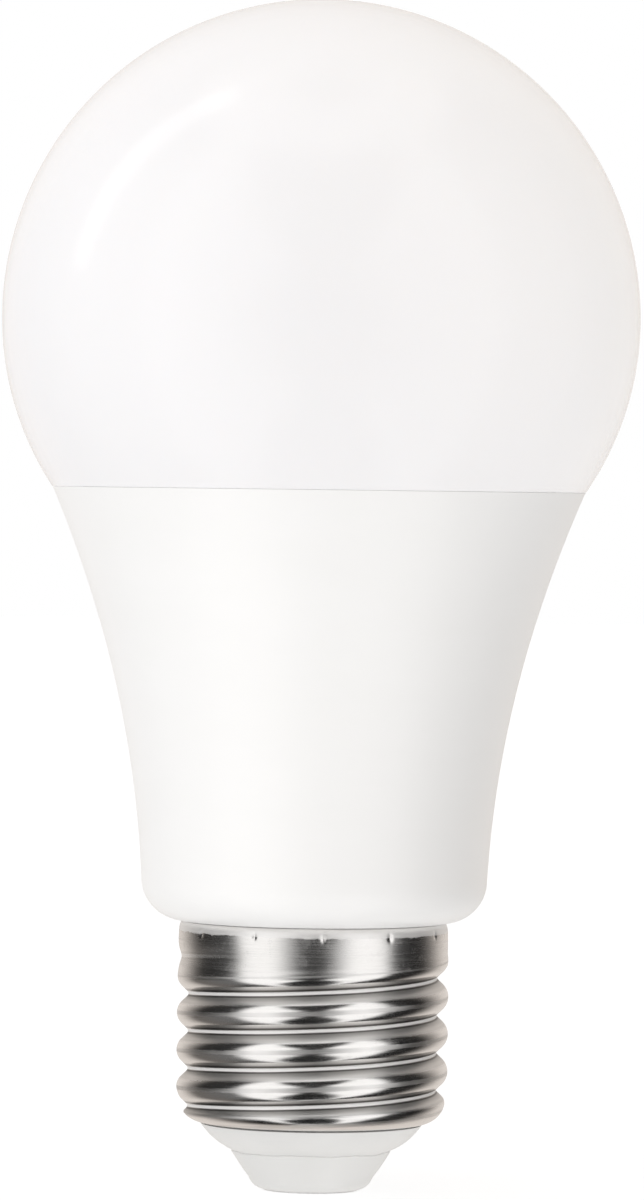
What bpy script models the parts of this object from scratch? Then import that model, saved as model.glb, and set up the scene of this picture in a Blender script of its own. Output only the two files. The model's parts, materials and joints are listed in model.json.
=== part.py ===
"""Smart light bulb: an A60 lamp with an opal globe, a flared white housing and an E27 screw cap.

+Z runs along the lamp's axis, from the centre contact to the top of the globe. The origin is the
middle of the centre contact's flat bottom face. Lengths are in metres.
"""

import math

import bmesh
import bpy
from mathutils import Matrix, Vector

# Clearance between two pieces that touch.
GAP = 0.0003
TURN_STEPS = 36

# Globe: a sphere whose lower half is a little flatter than its upper half.
GLOBE_RADIUS = 0.0309
GLOBE_LOWER_HEIGHT = 0.0301
GLOBE_CENTRE_Z = 0.0844
GLOBE_WALL = 0.0013
COLLAR_RADIUS = 0.02285
COLLAR_WALL = 0.0011
COLLAR_DEPTH = 0.0033

# Housing: radius grows from the foot to the seam with a slope and a flare.
SEAM_Z = 0.0679
FOOT_Z = 0.0261
FOOT_FILLET = 0.0040
FOOT_TOP_Z = FOOT_Z + FOOT_FILLET
FOOT_RADIUS = 0.01676
HOUSING_SLOPE = 0.05
HOUSING_FLARE = 5.0
HOUSING_WALL = 0.0013
RIM_FILLET = 0.0005
BORE_RADIUS = COLLAR_RADIUS + 0.00035
NECK_RADIUS = 0.01235
NECK_WALL = 0.0012
NECK_END_Z = 0.0236

# E27 screw cap: 7 turns an inch, right-handed, rolled from thin sheet.
THREAD_PITCH = 0.0254 / 7
CREST_RADIUS = 0.01315
ROOT_RADIUS = 0.01205
CREST_ARC = 0.00115
ROOT_ARC = 0.00085
BAND_RADIUS = 0.01306
GROOVE_Z_ON_X = 0.01708
RUN_OUT_TURN = 1.72
RUN_OUT_LENGTH = 0.60
SHEET = 0.00035
SHELL_TOP_Z = FOOT_Z - GAP
ROLL_RADIUS = 0.00235
ROLL_CENTRE = (0.0106, 0.00892)
CRIMP_COUNT = 12
CRIMP_BELOW_FOOT = 0.00085
CRIMP_BALL_RADIUS = 0.0007
CRIMP_DEPTH = 0.0002

# Insulator and centre contact.
SHOULDER_ARC = 0.0066
SHOULDER_CENTRE = (0.0052, 0.0100)
STEP_RADIUS = 0.0077
STEP_Z = 0.0038
NOSE_RADIUS = 0.0050
PLUG_RADIUS = 0.0113
PLUG_NECK_RADIUS = 0.0103
PLUG_TOP_Z = 0.0098
CONTACT_RADIUS = 0.0047
CONTACT_THICKNESS = 0.0004
CONTACT_SHANK_RADIUS = 0.00115

# Light engine.
BOARD_RADIUS = 0.0210
LED_BOARD_THICKNESS = 0.0012
PAD_THICKNESS = 0.0004
CUP_WALL = 0.0010
CUP_TOP_Z = 0.0614
CUP_BOTTOM_Z = 0.0320
CUP_CORNER = 0.0014
PAD_Z = CUP_TOP_Z + GAP
LED_BOARD_Z = PAD_Z + PAD_THICKNESS + GAP
LED_BOARD_TOP_Z = LED_BOARD_Z + LED_BOARD_THICKNESS
WHITE_LED_COUNT = 16
WHITE_LED_RING = 0.0168
WHITE_LED_SIZE = (0.0035, 0.0028, 0.0008)
RGB_LED_RING = 0.0090
RGB_LED_SIZE = (0.0050, 0.0050, 0.0015)
RGB_LED_ANGLES = (60, 120, 240, 300)
SCREW_OFFSET = 0.0124
SCREW_HOLE_RADIUS = 0.0014

# Radio module and the connector between the boards.
RADIO_SIZE = (0.0150, 0.0010, 0.0225)
RADIO_FOOT_Z = 0.0575
SHIELD_SIZE = (0.0110, 0.0022, 0.0095)
SHIELD_Z = 0.0665
PIN_COUNT = 4
PIN_SPACING = 0.00254
PIN_WIDTH = 0.0006

# Driver board: an upright board with a narrow tail that reaches down into the cap.
DRIVER_THICKNESS = 0.0016
DRIVER_Y = -0.0032
DRIVER_BOTTOM_Z = 0.0125
DRIVER_SHOULDER_Z = 0.0300
DRIVER_TOP_Z = 0.0530
DRIVER_TAIL_HALF = 0.0085
DRIVER_HALF = 0.0122
FRONT_Y = DRIVER_Y + DRIVER_THICKNESS / 2 + GAP
BACK_Y = DRIVER_Y - DRIVER_THICKNESS / 2 - GAP


def clear_scene():
    for obj in list(bpy.data.objects):
        bpy.data.objects.remove(obj, do_unlink=True)


def new_collection(name):
    collection = bpy.data.collections.new(name)
    bpy.context.scene.collection.children.link(collection)
    return collection


def finish(name, colour, roughness, metallic=0.0, transmission=0.0):
    """A Principled material."""
    material = bpy.data.materials.new(name)
    material.use_nodes = True
    shader = material.node_tree.nodes["Principled BSDF"]
    shader.inputs["Base Color"].default_value = (*colour, 1.0)
    shader.inputs["Roughness"].default_value = roughness
    shader.inputs["Metallic"].default_value = metallic
    shader.inputs["Transmission Weight"].default_value = transmission
    return material


def add_part(name, mesh, material, centre=(0.0, 0.0, 0.0), turn=(0.0, 0.0, 0.0)):
    """An object in the lamp's collection, with rotation given in degrees."""
    obj = bpy.data.objects.new(name, mesh)
    obj.location = centre
    obj.rotation_euler = [math.radians(angle) for angle in turn]
    if not mesh.materials:
        mesh.materials.append(material)
    lamp.objects.link(obj)
    return obj


def add_cutter(name, mesh, centre=(0.0, 0.0, 0.0)):
    obj = bpy.data.objects.new(name, mesh)
    obj.location = centre
    obj.hide_render = True
    obj.display_type = "WIRE"
    cutters.objects.link(obj)
    return obj


def mesh_of(name, bm):
    mesh = bpy.data.meshes.new(name)
    bm.to_mesh(mesh)
    bm.free()
    return mesh


def box_mesh(name, size):
    bm = bmesh.new()
    bmesh.ops.create_cube(bm, size=1.0, matrix=Matrix.Diagonal((*size, 1.0)))
    return mesh_of(name, bm)


def cylinder_mesh(name, radius, depth, segments=24):
    """A cylinder along Z about its centre, with smooth sides."""
    bm = bmesh.new()
    bmesh.ops.create_cone(bm, cap_ends=True, segments=segments, radius1=radius, radius2=radius, depth=depth)
    mesh = mesh_of(name, bm)
    mesh.shade_smooth()
    mesh.set_sharp_from_angle(angle=math.radians(35))
    return mesh


def bevel(obj, width, segments=1):
    modifier = obj.modifiers.new("rounded_edges", "BEVEL")
    modifier.width = width
    modifier.segments = segments
    modifier.limit_method = "ANGLE"


def boolean(obj, other, operation="DIFFERENCE"):
    modifier = obj.modifiers.new(f"{operation.lower()}_{other.name}", "BOOLEAN")
    modifier.operation = operation
    modifier.object = other


def screw(obj, steps):
    modifier = obj.modifiers.new("turn", "SCREW")
    modifier.steps = steps
    modifier.render_steps = steps
    modifier.use_merge_vertices = True
    modifier.merge_threshold = 0.00001


def profile_mesh(name, points, closed):
    """A polyline in the XZ plane, as (radius, height) points."""
    edges = [(i, i + 1) for i in range(len(points) - 1)]
    if closed:
        edges.append((len(points) - 1, 0))
    mesh = bpy.data.meshes.new(name)
    mesh.from_pydata([(radius, 0.0, height) for radius, height in points], edges, [])
    return mesh


def turned(name, points, material, centre=(0.0, 0.0, 0.0), steps=TURN_STEPS):
    """A solid of revolution. The points run down its outer side; a ring's points close on themselves."""
    on_axis = points[0][0] == 0.0
    obj = add_part(name, profile_mesh(name, points, closed=not on_axis), material, centre)
    screw(obj, steps)
    return obj


def arc(centre, radius, start, end, count):
    """Points on a circle in the (radius, height) plane; 0 degrees points outwards and 90 degrees up."""
    points = []
    for i in range(count + 1):
        angle = math.radians(start + (end - start) * i / count)
        points.append((centre[0] + radius * math.cos(angle), centre[1] + radius * math.sin(angle)))
    return points


def even_steps(start, end, count):
    return [start + (end - start) * i / count for i in range(count + 1)]


def globe_side(rim_z, inset, upper_count, lower_count):
    """Points from the top of the globe, past its widest ring, down to a height on its side."""
    radius = GLOBE_RADIUS - inset
    lower_height = GLOBE_LOWER_HEIGHT - inset
    points = arc((0.0, GLOBE_CENTRE_Z), radius, 90, 0, upper_count)
    points[0] = (0.0, GLOBE_CENTRE_Z + radius)
    end = math.asin((GLOBE_CENTRE_Z - rim_z) / lower_height)
    for angle in even_steps(0.0, end, lower_count)[1:]:
        points.append((radius * math.cos(angle), GLOBE_CENTRE_Z - lower_height * math.sin(angle)))
    return points


def add_globe():
    rim_z = SEAM_Z + GAP
    outer = globe_side(rim_z, 0.0, 9, 4)
    inner = globe_side(rim_z + GLOBE_WALL, GLOBE_WALL, 8, 3)
    collar_foot = SEAM_Z - COLLAR_DEPTH
    collar_bore = COLLAR_RADIUS - COLLAR_WALL
    collar = [
        (COLLAR_RADIUS, rim_z),
        (COLLAR_RADIUS, collar_foot),
        (collar_bore, collar_foot),
        (collar_bore, rim_z),
    ]
    turned("diffuser_globe", outer + collar + inner[::-1], opal)


def housing_radius(z):
    rise = z - FOOT_TOP_Z
    return FOOT_RADIUS + HOUSING_SLOPE * rise + HOUSING_FLARE * rise**2


def housing_wall(start_z, end_z, inset, count):
    return [(housing_radius(z) - inset, z) for z in even_steps(start_z, end_z, count)]


def add_housing():
    rim_radius = housing_radius(SEAM_Z)
    rim = arc((rim_radius - RIM_FILLET, SEAM_Z - RIM_FILLET), RIM_FILLET, 90, 30, 2)
    wall = housing_wall(SEAM_Z - RIM_FILLET, FOOT_TOP_Z, 0.0, 9)
    foot = arc((FOOT_RADIUS - FOOT_FILLET, FOOT_TOP_Z), FOOT_FILLET, -18, -90, 4)
    neck = [
        (NECK_RADIUS, FOOT_Z),
        (NECK_RADIUS, NECK_END_Z),
        (NECK_RADIUS - NECK_WALL, NECK_END_Z),
        (NECK_RADIUS - NECK_WALL, FOOT_Z + HOUSING_WALL),
    ]
    inner_foot = arc((FOOT_RADIUS - FOOT_FILLET, FOOT_TOP_Z), FOOT_FILLET - HOUSING_WALL, -90, 0, 3)
    bore_foot = SEAM_Z - COLLAR_DEPTH - GAP
    inner_wall = housing_wall(FOOT_TOP_Z, bore_foot, HOUSING_WALL, 7)[1:]
    bore = [(BORE_RADIUS, bore_foot), (BORE_RADIUS, SEAM_Z)]
    turned("housing_shell", rim + wall + foot + neck + inner_foot + inner_wall + bore, shell_white)


def add_seal():
    radius = housing_radius(LED_BOARD_TOP_Z) - HOUSING_WALL - GAP - 0.0005
    ring = arc((radius, LED_BOARD_TOP_Z - 0.0001), 0.00048, 90, -225, 7)
    turned("seal_ring", ring, silicone)


def add_heat_sink():
    inset = HOUSING_WALL + GAP + 0.00005
    shoulder = housing_radius(CUP_TOP_Z) - inset - CUP_CORNER
    top = [(0.0, CUP_TOP_Z)] + arc((shoulder, CUP_TOP_Z - CUP_CORNER), CUP_CORNER, 90, 20, 3)
    wall = housing_wall(CUP_TOP_Z - CUP_CORNER, CUP_BOTTOM_Z, inset, 6)
    mesh = profile_mesh("heat_sink_cup", top + wall, closed=False)
    cup = add_part("heat_sink_cup", mesh, aluminium)
    screw(cup, TURN_STEPS)
    sheet = cup.modifiers.new("sheet", "SOLIDIFY")
    sheet.thickness = CUP_WALL
    sheet.offset = -1.0
    window_y = (DRIVER_Y - 0.0020, RADIO_SIZE[1] / 2 + 0.0010)
    window_size = (RADIO_SIZE[0] + 0.0024, window_y[1] - window_y[0], 4 * CUP_WALL)
    window = box_mesh("cup_window", window_size)
    boolean(cup, add_cutter("cup_window", window, (0.0, sum(window_y) / 2, CUP_TOP_Z)))
    return cup


def add_light_engine():
    """The heat sink, pad and LED board, with the slots and screw holes that go through them."""
    cup = add_heat_sink()
    pad = add_part(
        "thermal_pad",
        cylinder_mesh("thermal_pad", BOARD_RADIUS - 0.001, PAD_THICKNESS, 40),
        pad_grey,
        (0.0, 0.0, PAD_Z + PAD_THICKNESS / 2),
    )
    board = add_part(
        "led_board",
        cylinder_mesh("led_board", BOARD_RADIUS, LED_BOARD_THICKNESS, 48),
        solder_mask_white,
        (0.0, 0.0, LED_BOARD_Z + LED_BOARD_THICKNESS / 2),
    )
    slot_depth = 0.006
    radio_slot = box_mesh("radio_slot", (RADIO_SIZE[0] + 0.001, RADIO_SIZE[1] + 0.0008, slot_depth))
    pin_slot = box_mesh("pin_slot", (PIN_COUNT * PIN_SPACING - 0.0008, PIN_WIDTH + 0.0008, slot_depth))
    slots = [
        add_cutter("radio_slot", radio_slot, (0.0, 0.0, LED_BOARD_Z)),
        add_cutter("pin_slot", pin_slot, (0.0, DRIVER_Y, LED_BOARD_Z)),
    ]
    hole = cylinder_mesh("screw_hole", SCREW_HOLE_RADIUS, slot_depth, 16)
    holes = [
        add_cutter(f"screw_hole_{i + 1}", hole, (side * SCREW_OFFSET, 0.0, LED_BOARD_Z))
        for i, side in enumerate((1, -1))
    ]
    for cutter in slots:
        boolean(pad, cutter)
        boolean(board, cutter)
    for cutter in holes:
        for piece in (cup, pad, board):
            boolean(piece, cutter)


def add_board_screws():
    """Pan-head screws with a cross recess."""
    head_z = LED_BOARD_TOP_Z + GAP
    tip_z = CUP_TOP_Z - CUP_WALL - 0.0025
    for i, side in enumerate((1, -1)):
        name = f"board_screw_{i + 1}"
        head = arc((0.0, head_z - 0.0008), 0.0020, 90, 24, 3)
        shank = [(0.0019, head_z), (0.0010, head_z), (0.0010, tip_z + 0.0005), (0.0006, tip_z)]
        profile = [(0.0, head[0][1])] + head[1:] + shank + [(0.0, tip_z)]
        centre = (side * SCREW_OFFSET, 0.0, 0.0)
        obj = turned(name, profile, zinc, centre, steps=16)
        for j, size in enumerate(((0.0022, 0.0005, 0.001), (0.0005, 0.0022, 0.001))):
            recess = box_mesh(f"recess_{i + 1}_{j + 1}", size)
            boolean(obj, add_cutter(recess.name, recess, (centre[0], 0.0, head[0][1])))


def led_mesh(name, size, window_depth):
    """A moulded package with a sunken window on top."""
    bm = bmesh.new()
    bmesh.ops.create_cube(bm, size=1.0, matrix=Matrix.Diagonal((*size, 1.0)))
    top = max(bm.faces, key=lambda face: face.calc_center_median().z)
    bmesh.ops.inset_region(bm, faces=[top], thickness=0.14 * size[1])
    bmesh.ops.inset_region(bm, faces=[top], thickness=0.06 * size[1], depth=-window_depth)
    return mesh_of(name, bm)


def add_leds():
    white_mesh = {
        "warm": led_mesh("warm_led", WHITE_LED_SIZE, 0.00015),
        "cool": led_mesh("cool_led", WHITE_LED_SIZE, 0.00015),
    }
    phosphor = {"warm": warm_phosphor, "cool": cool_phosphor}
    z = LED_BOARD_TOP_Z + GAP + WHITE_LED_SIZE[2] / 2
    for i in range(WHITE_LED_COUNT):
        kind = ("warm", "cool")[i % 2]
        angle = math.radians((i + 0.5) * 360 / WHITE_LED_COUNT)
        centre = (WHITE_LED_RING * math.cos(angle), WHITE_LED_RING * math.sin(angle), z)
        turn = (0.0, 0.0, math.degrees(angle) + 90)
        add_part(f"{kind}_led_{i // 2 + 1}", white_mesh[kind], phosphor[kind], centre, turn)
    rgb_mesh = led_mesh("rgb_led", RGB_LED_SIZE, 0.0003)
    z = LED_BOARD_TOP_Z + GAP + RGB_LED_SIZE[2] / 2
    for i, degrees in enumerate(RGB_LED_ANGLES):
        angle = math.radians(degrees)
        centre = (RGB_LED_RING * math.cos(angle), RGB_LED_RING * math.sin(angle), z)
        add_part(f"rgb_led_{i + 1}", rgb_mesh, rgb_package, centre)


def add_radio_module():
    board_centre = (0.0, 0.0, RADIO_FOOT_Z + RADIO_SIZE[2] / 2)
    add_part("radio_module_board", box_mesh("radio_module_board", RADIO_SIZE), solder_mask_blue, board_centre)
    can_y = RADIO_SIZE[1] / 2 + GAP + SHIELD_SIZE[1] / 2
    can_centre = (0.0, can_y, SHIELD_Z + SHIELD_SIZE[2] / 2)
    can = add_part("radio_shield_can", box_mesh("radio_shield_can", SHIELD_SIZE), tin, can_centre)
    bevel(can, 0.0004)


def add_connector():
    """A pin header on the driver board's top edge and its socket on the LED board."""
    row_length = PIN_COUNT * PIN_SPACING
    socket_z = LED_BOARD_TOP_Z + GAP
    pin_tip_z = socket_z + 0.0028
    socket_size = (row_length + 0.0004, 0.0020, 0.0040)
    socket_centre = (0.0, DRIVER_Y, socket_z + socket_size[2] / 2)
    socket = add_part("board_socket", box_mesh("board_socket", socket_size), black_plastic, socket_centre)
    bay_size = (row_length - 0.0012, PIN_WIDTH + 0.0006, 2 * (pin_tip_z + GAP - socket_z))
    boolean(socket, add_cutter("socket_bay", box_mesh("socket_bay", bay_size), (0.0, DRIVER_Y, socket_z)))

    bar_size = (row_length, 0.0022, 0.0022)
    bar_centre = Vector((0.0, DRIVER_Y, DRIVER_TOP_Z + GAP + bar_size[2] / 2))
    header = add_part("pin_header", box_mesh("pin_header", bar_size), black_plastic, bar_centre)
    pin_length = pin_tip_z - bar_centre.z
    pin = box_mesh("header_pin", (PIN_WIDTH, PIN_WIDTH, pin_length))
    for i in range(PIN_COUNT):
        x = (i - (PIN_COUNT - 1) / 2) * PIN_SPACING
        pin_centre = (x, DRIVER_Y, pin_tip_z - pin_length / 2)
        boolean(header, add_cutter(f"header_pin_{i + 1}", pin, pin_centre), "UNION")


def add_driver_board():
    """A flat outline with a narrow tail, standing upright."""
    half = [
        (DRIVER_TAIL_HALF, DRIVER_BOTTOM_Z),
        (DRIVER_TAIL_HALF, DRIVER_SHOULDER_Z),
        (DRIVER_HALF, DRIVER_SHOULDER_Z + 0.002),
        (DRIVER_HALF, DRIVER_TOP_Z),
    ]
    outline = half + [(-x, z) for x, z in half[::-1]]
    curve = bpy.data.curves.new("driver_board", "CURVE")
    curve.dimensions = "2D"
    curve.fill_mode = "BOTH"
    curve.extrude = DRIVER_THICKNESS / 2
    spline = curve.splines.new("POLY")
    spline.points.add(len(outline) - 1)
    for point, (x, z) in zip(spline.points, outline):
        point.co = (x, z, 0.0, 1.0)
    spline.use_cyclic_u = True
    add_part("driver_board", curve, solder_mask_green, (0.0, DRIVER_Y, 0.0), (90.0, 0.0, 0.0))


def capacitor_profile(radius, height):
    """An aluminium can with a rolled groove near its foot and rounded edges."""
    edge = 0.0005
    groove = 0.0018
    return [
        (0.0, height),
        (radius - edge, height),
        (radius, height - edge),
        (radius, groove + 0.0005),
        (radius - 0.0004, groove),
        (radius, groove - 0.0005),
        (radius, edge),
        (radius - edge, 0.0),
        (0.0, 0.0),
    ]


def drum_profile(flange, waist, half, lip):
    """The closed outline of a drum, or of a spool, about its middle."""
    return [
        (0.0, half),
        (flange, half),
        (flange, half - lip),
        (waist, half - lip),
        (waist, lip - half),
        (flange, lip - half),
        (flange, -half),
        (0.0, -half),
    ]


def ring_profile(inner, outer, half):
    edge = 0.0004
    return [
        (inner, half),
        (outer - edge, half),
        (outer, half - edge),
        (outer, edge - half),
        (outer - edge, -half),
        (inner, -half),
    ]


def add_capacitors():
    radius = 0.0040
    centre = (-0.0036, FRONT_Y + radius, 0.0140)
    turned("bulk_capacitor", capacitor_profile(radius, 0.0125), can_black, centre, steps=20)
    radius = 0.00315
    centre = (0.0080, FRONT_Y + radius, 0.0410)
    turned("output_capacitor", capacitor_profile(radius, 0.0110), can_black, centre, steps=20)

    film_size = (0.0100, 0.0050, 0.0070)
    film_centre = (0.0055, FRONT_Y + film_size[1] / 2, 0.0365)
    film = add_part("film_capacitor", box_mesh("film_capacitor", film_size), film_yellow, film_centre)
    bevel(film, 0.0006)

    thickness = 0.0034
    disc = cylinder_mesh("varistor", 0.0035, thickness, 20)
    disc_centre = (0.0045, FRONT_Y + thickness / 2, 0.0275)
    varistor = add_part("varistor", disc, varistor_blue, disc_centre, (90.0, 0.0, 0.0))
    bevel(varistor, 0.0009, 2)


def add_choke():
    flange = 0.0032
    waist = 0.0014
    half = 0.0042
    lip = 0.0010
    centre = (-0.0066, FRONT_Y + flange, 0.0345)
    turned("choke_core", drum_profile(flange, waist, half, lip), ferrite, centre, steps=20)
    wound = ring_profile(waist + GAP, flange - 0.0003, half - lip - GAP)
    turned("choke_winding", wound, enamelled_copper, centre, steps=20)


def add_transformer():
    """A ferrite core with a round centre leg, a bobbin on it and a winding on the bobbin."""
    core_size = Vector((0.0136, 0.0060, 0.0112))
    yoke = 0.0016
    side_leg = 0.0017
    leg_radius = 0.0020
    window_half_x = core_size.x / 2 - side_leg
    window_half_z = core_size.z / 2 - yoke
    flange = window_half_x - GAP - 0.00005
    bobbin_bore = leg_radius + GAP
    tube = bobbin_bore + 0.0004
    lip = 0.0005
    bobbin_half = window_half_z - GAP
    centre = Vector((-0.0046, FRONT_Y + flange, 0.0465))

    core = add_part("transformer_core", box_mesh("transformer_core", core_size), ferrite, centre)
    window_size = (2 * window_half_x, 2 * core_size.y, 2 * window_half_z)
    boolean(core, add_cutter("core_window", box_mesh("core_window", window_size), centre))
    leg = cylinder_mesh("core_leg", leg_radius, core_size.z - yoke, 20)
    boolean(core, add_cutter("core_leg", leg, centre), "UNION")

    spool = drum_profile(flange, tube, bobbin_half, lip)[1:-1]
    bore = [(bobbin_bore, -bobbin_half), (bobbin_bore, bobbin_half)]
    turned("transformer_bobbin", spool + bore, bobbin_black, centre, steps=20)
    wound = ring_profile(tube + GAP, flange - 0.0004, bobbin_half - lip - GAP)
    turned("transformer_winding", wound, winding_tape, centre, steps=20)


def add_chips():
    """Moulded packages on the back of the driver board: (name, width, thickness, height, x, z)."""
    chips = (
        ("bridge_rectifier", 0.0065, 0.0024, 0.0048, 0.0000, 0.0335),
        ("output_diode", 0.0045, 0.0020, 0.0026, 0.0068, 0.0405),
        ("power_controller", 0.0050, 0.0015, 0.0040, -0.0050, 0.0420),
        ("led_driver_chip_1", 0.0050, 0.0015, 0.0040, -0.0050, 0.0490),
        ("led_driver_chip_2", 0.0050, 0.0015, 0.0040, 0.0050, 0.0490),
    )
    for name, width, thickness, height, x, z in chips:
        centre = (x, BACK_Y - thickness / 2, z)
        chip = add_part(name, box_mesh(name, (width, thickness, height)), epoxy_black, centre)
        bevel(chip, 0.00025)


def add_fuse():
    radius = 0.00125
    lead = 0.0003
    half = 0.0035
    cap = 0.0005
    centre = (0.0045, FRONT_Y + 0.0021, 0.0180)
    body = [
        (0.0, half + 0.0022),
        (lead, half + 0.0022),
        (lead, half),
        (radius - cap, half),
        (radius, half - cap),
        (radius, cap - half),
        (radius - cap, -half),
        (lead, -half),
        (lead, -half - 0.0022),
        (0.0, -half - 0.0022),
    ]
    turned("fuse_resistor", body, resistor_green, centre, steps=16)
    sleeve_bore = radius + GAP
    sleeve = ring_profile(sleeve_bore, sleeve_bore + 0.0005, half + 0.0008)
    turned("fuse_sleeve", sleeve, sleeve_black, centre, steps=16)


def bezier(start, start_handle, end_handle, end, count):
    """Points along a cubic curve."""
    points = []
    for t in even_steps(0.0, 1.0, count):
        s = 1.0 - t
        points.append(s**3 * start + 3 * s * s * t * start_handle + 3 * s * t * t * end_handle + t**3 * end)
    return points


def add_wire(name, points, radius, material):
    curve = bpy.data.curves.new(name, "CURVE")
    curve.dimensions = "3D"
    curve.bevel_depth = radius
    curve.bevel_resolution = 2
    curve.use_fill_caps = True
    spline = curve.splines.new("POLY")
    spline.points.add(len(points) - 1)
    for point, place in zip(spline.points, points):
        point.co = (*place, 1.0)
    add_part(name, curve, material)


def add_wires():
    """The live wire ends on the centre contact and the neutral wire on the inside of the screw shell."""
    radius = 0.0005
    shank_top = Vector((0.0, 0.0, CONTACT_THICKNESS + 0.0036 + radius))
    board_end = Vector((0.0035, DRIVER_Y, DRIVER_BOTTOM_Z - radius))
    live = bezier(board_end, board_end - Vector((0, 0, 0.004)), shank_top + Vector((0, 0, 0.004)), shank_top, 12)
    add_wire("live_wire", live, radius, wire_red)
    board_side = Vector((-DRIVER_TAIL_HALF - GAP - radius, DRIVER_Y, 0.0160))
    shell_side = Vector((-ROOT_RADIUS + SHEET + 0.0009 + radius, 0.0012, 0.0205))
    middle = Vector((-0.0004, 0.0012, 0.0))
    neutral = bezier(board_side, board_side + middle, shell_side - Vector((0, 0, 0.003)), shell_side, 10)
    add_wire("neutral_wire", neutral, radius, wire_blue)


def thread_radius(offset):
    """The sheet's outer radius at a distance along the axis from the middle of a groove."""
    run = THREAD_PITCH / 2
    crest_centre = CREST_RADIUS - CREST_ARC
    root_centre = ROOT_RADIUS + ROOT_ARC
    lean = math.atan2(root_centre - crest_centre, run)
    flank = lean + math.acos((CREST_ARC + ROOT_ARC) / math.hypot(run, root_centre - crest_centre))
    root_end = ROOT_ARC * math.cos(flank)
    crest_end = run - CREST_ARC * math.cos(flank)
    offset = abs(offset)
    if offset <= root_end:
        return root_centre - math.sqrt(ROOT_ARC**2 - offset**2)
    if offset >= crest_end:
        return crest_centre + math.sqrt(CREST_ARC**2 - (run - offset) ** 2)
    share = (offset - root_end) / (crest_end - root_end)
    low = root_centre - ROOT_ARC * math.sin(flank)
    high = crest_centre + CREST_ARC * math.sin(flank)
    return low + share * (high - low)


def smooth_step(value):
    value = min(1.0, max(0.0, value))
    return value * value * (3.0 - 2.0 * value)


def shell_radius(z, angle):
    """The threaded wall: one groove winds up it, right-handed, and runs out under the band."""
    turns = (z - GROOVE_Z_ON_X) / THREAD_PITCH - angle / (2 * math.pi)
    nearest = round(turns)
    groove_turn = nearest + angle / (2 * math.pi)
    depth_share = smooth_step((RUN_OUT_TURN - groove_turn) / RUN_OUT_LENGTH)
    threaded = thread_radius((turns - nearest) * THREAD_PITCH)
    return BAND_RADIUS + depth_share * (threaded - BAND_RADIUS)


def shell_rows():
    """(height, largest radius) of each ring of the sheet, from the band's top edge to the rolled end."""
    thread_top = 0.0240
    roll_z = ROLL_CENTRE[1]
    rows = [(SHELL_TOP_Z, BAND_RADIUS)]
    rows += [(z, CREST_RADIUS) for z in even_steps(thread_top, roll_z, 25)]
    rows += [(z, radius) for radius, z in arc(ROLL_CENTRE, ROLL_RADIUS, 0, -90, 5)[1:]]
    return rows


def add_screw_shell():
    rows = shell_rows()
    columns = TURN_STEPS
    bm = bmesh.new()
    bmesh.ops.create_grid(bm, x_segments=columns, y_segments=len(rows) - 1, size=0.5)
    for vertex in bm.verts:
        angle = 2 * math.pi * (vertex.co.x + 0.5)
        z, limit = rows[round((0.5 - vertex.co.y) * (len(rows) - 1))]
        radius = min(limit, shell_radius(z, angle))
        vertex.co = (radius * math.cos(angle), radius * math.sin(angle), z)
    bmesh.ops.remove_doubles(bm, verts=bm.verts, dist=0.000001)
    bmesh.ops.recalc_face_normals(bm, faces=bm.faces)
    mesh = mesh_of("screw_shell", bm)
    mesh.shade_smooth()
    shell = add_part("screw_shell", mesh, nickel)
    sheet = shell.modifiers.new("sheet", "SOLIDIFY")
    sheet.thickness = SHEET
    sheet.offset = -1.0

    bm = bmesh.new()
    reach = BAND_RADIUS - CRIMP_DEPTH + CRIMP_BALL_RADIUS
    for i in range(CRIMP_COUNT):
        angle = 2 * math.pi * i / CRIMP_COUNT
        place = Vector((reach * math.cos(angle), reach * math.sin(angle), FOOT_Z - CRIMP_BELOW_FOOT))
        turn = Matrix.Rotation(angle, 4, "Z") @ Matrix.Rotation(math.pi / 2, 4, "Y")
        bmesh.ops.create_uvsphere(
            bm, u_segments=8, v_segments=6, radius=CRIMP_BALL_RADIUS, matrix=Matrix.Translation(place) @ turn
        )
    boolean(shell, add_cutter("crimp_punches", mesh_of("crimp_punches", bm)))


def add_insulator():
    """A turned plug that fills the rolled end, with a shoulder and a nose under it, hollow for the live wire."""
    shoulder = arc(SHOULDER_CENTRE, SHOULDER_ARC, -34, -67, 4)
    foot_z = CONTACT_THICKNESS + GAP
    shank_bore = CONTACT_SHANK_RADIUS + GAP
    plug = [
        (PLUG_RADIUS - 0.0005, PLUG_TOP_Z),
        (PLUG_RADIUS, PLUG_TOP_Z - 0.0004),
        (PLUG_RADIUS, 0.0080),
        (PLUG_NECK_RADIUS, 0.0073),
        (PLUG_NECK_RADIUS, shoulder[0][1]),
    ]
    nose = [
        (STEP_RADIUS, STEP_Z),
        (0.0057, 0.0010),
        (NOSE_RADIUS, foot_z),
    ]
    hollow = [
        (shank_bore, foot_z),
        (shank_bore, 0.0028),
        (0.0044, 0.0032),
        (0.0078, PLUG_TOP_Z),
    ]
    turned("cap_insulator", plug + shoulder + nose + hollow, insulator_white, steps=32)


def add_centre_contact():
    edge = 0.0002
    shank_top = CONTACT_THICKNESS + 0.0030
    profile = [
        (0.0, shank_top),
        (CONTACT_SHANK_RADIUS - edge, shank_top),
        (CONTACT_SHANK_RADIUS, shank_top - edge),
        (CONTACT_SHANK_RADIUS, CONTACT_THICKNESS),
        (CONTACT_RADIUS - edge, CONTACT_THICKNESS),
        (CONTACT_RADIUS, CONTACT_THICKNESS - edge / 2),
        (CONTACT_RADIUS - edge, 0.0),
        (0.0, 0.0),
    ]
    turned("centre_contact", profile, contact_metal, steps=32)


clear_scene()
lamp = new_collection("smart_light_bulb")
cutters = new_collection("cutters")

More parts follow.
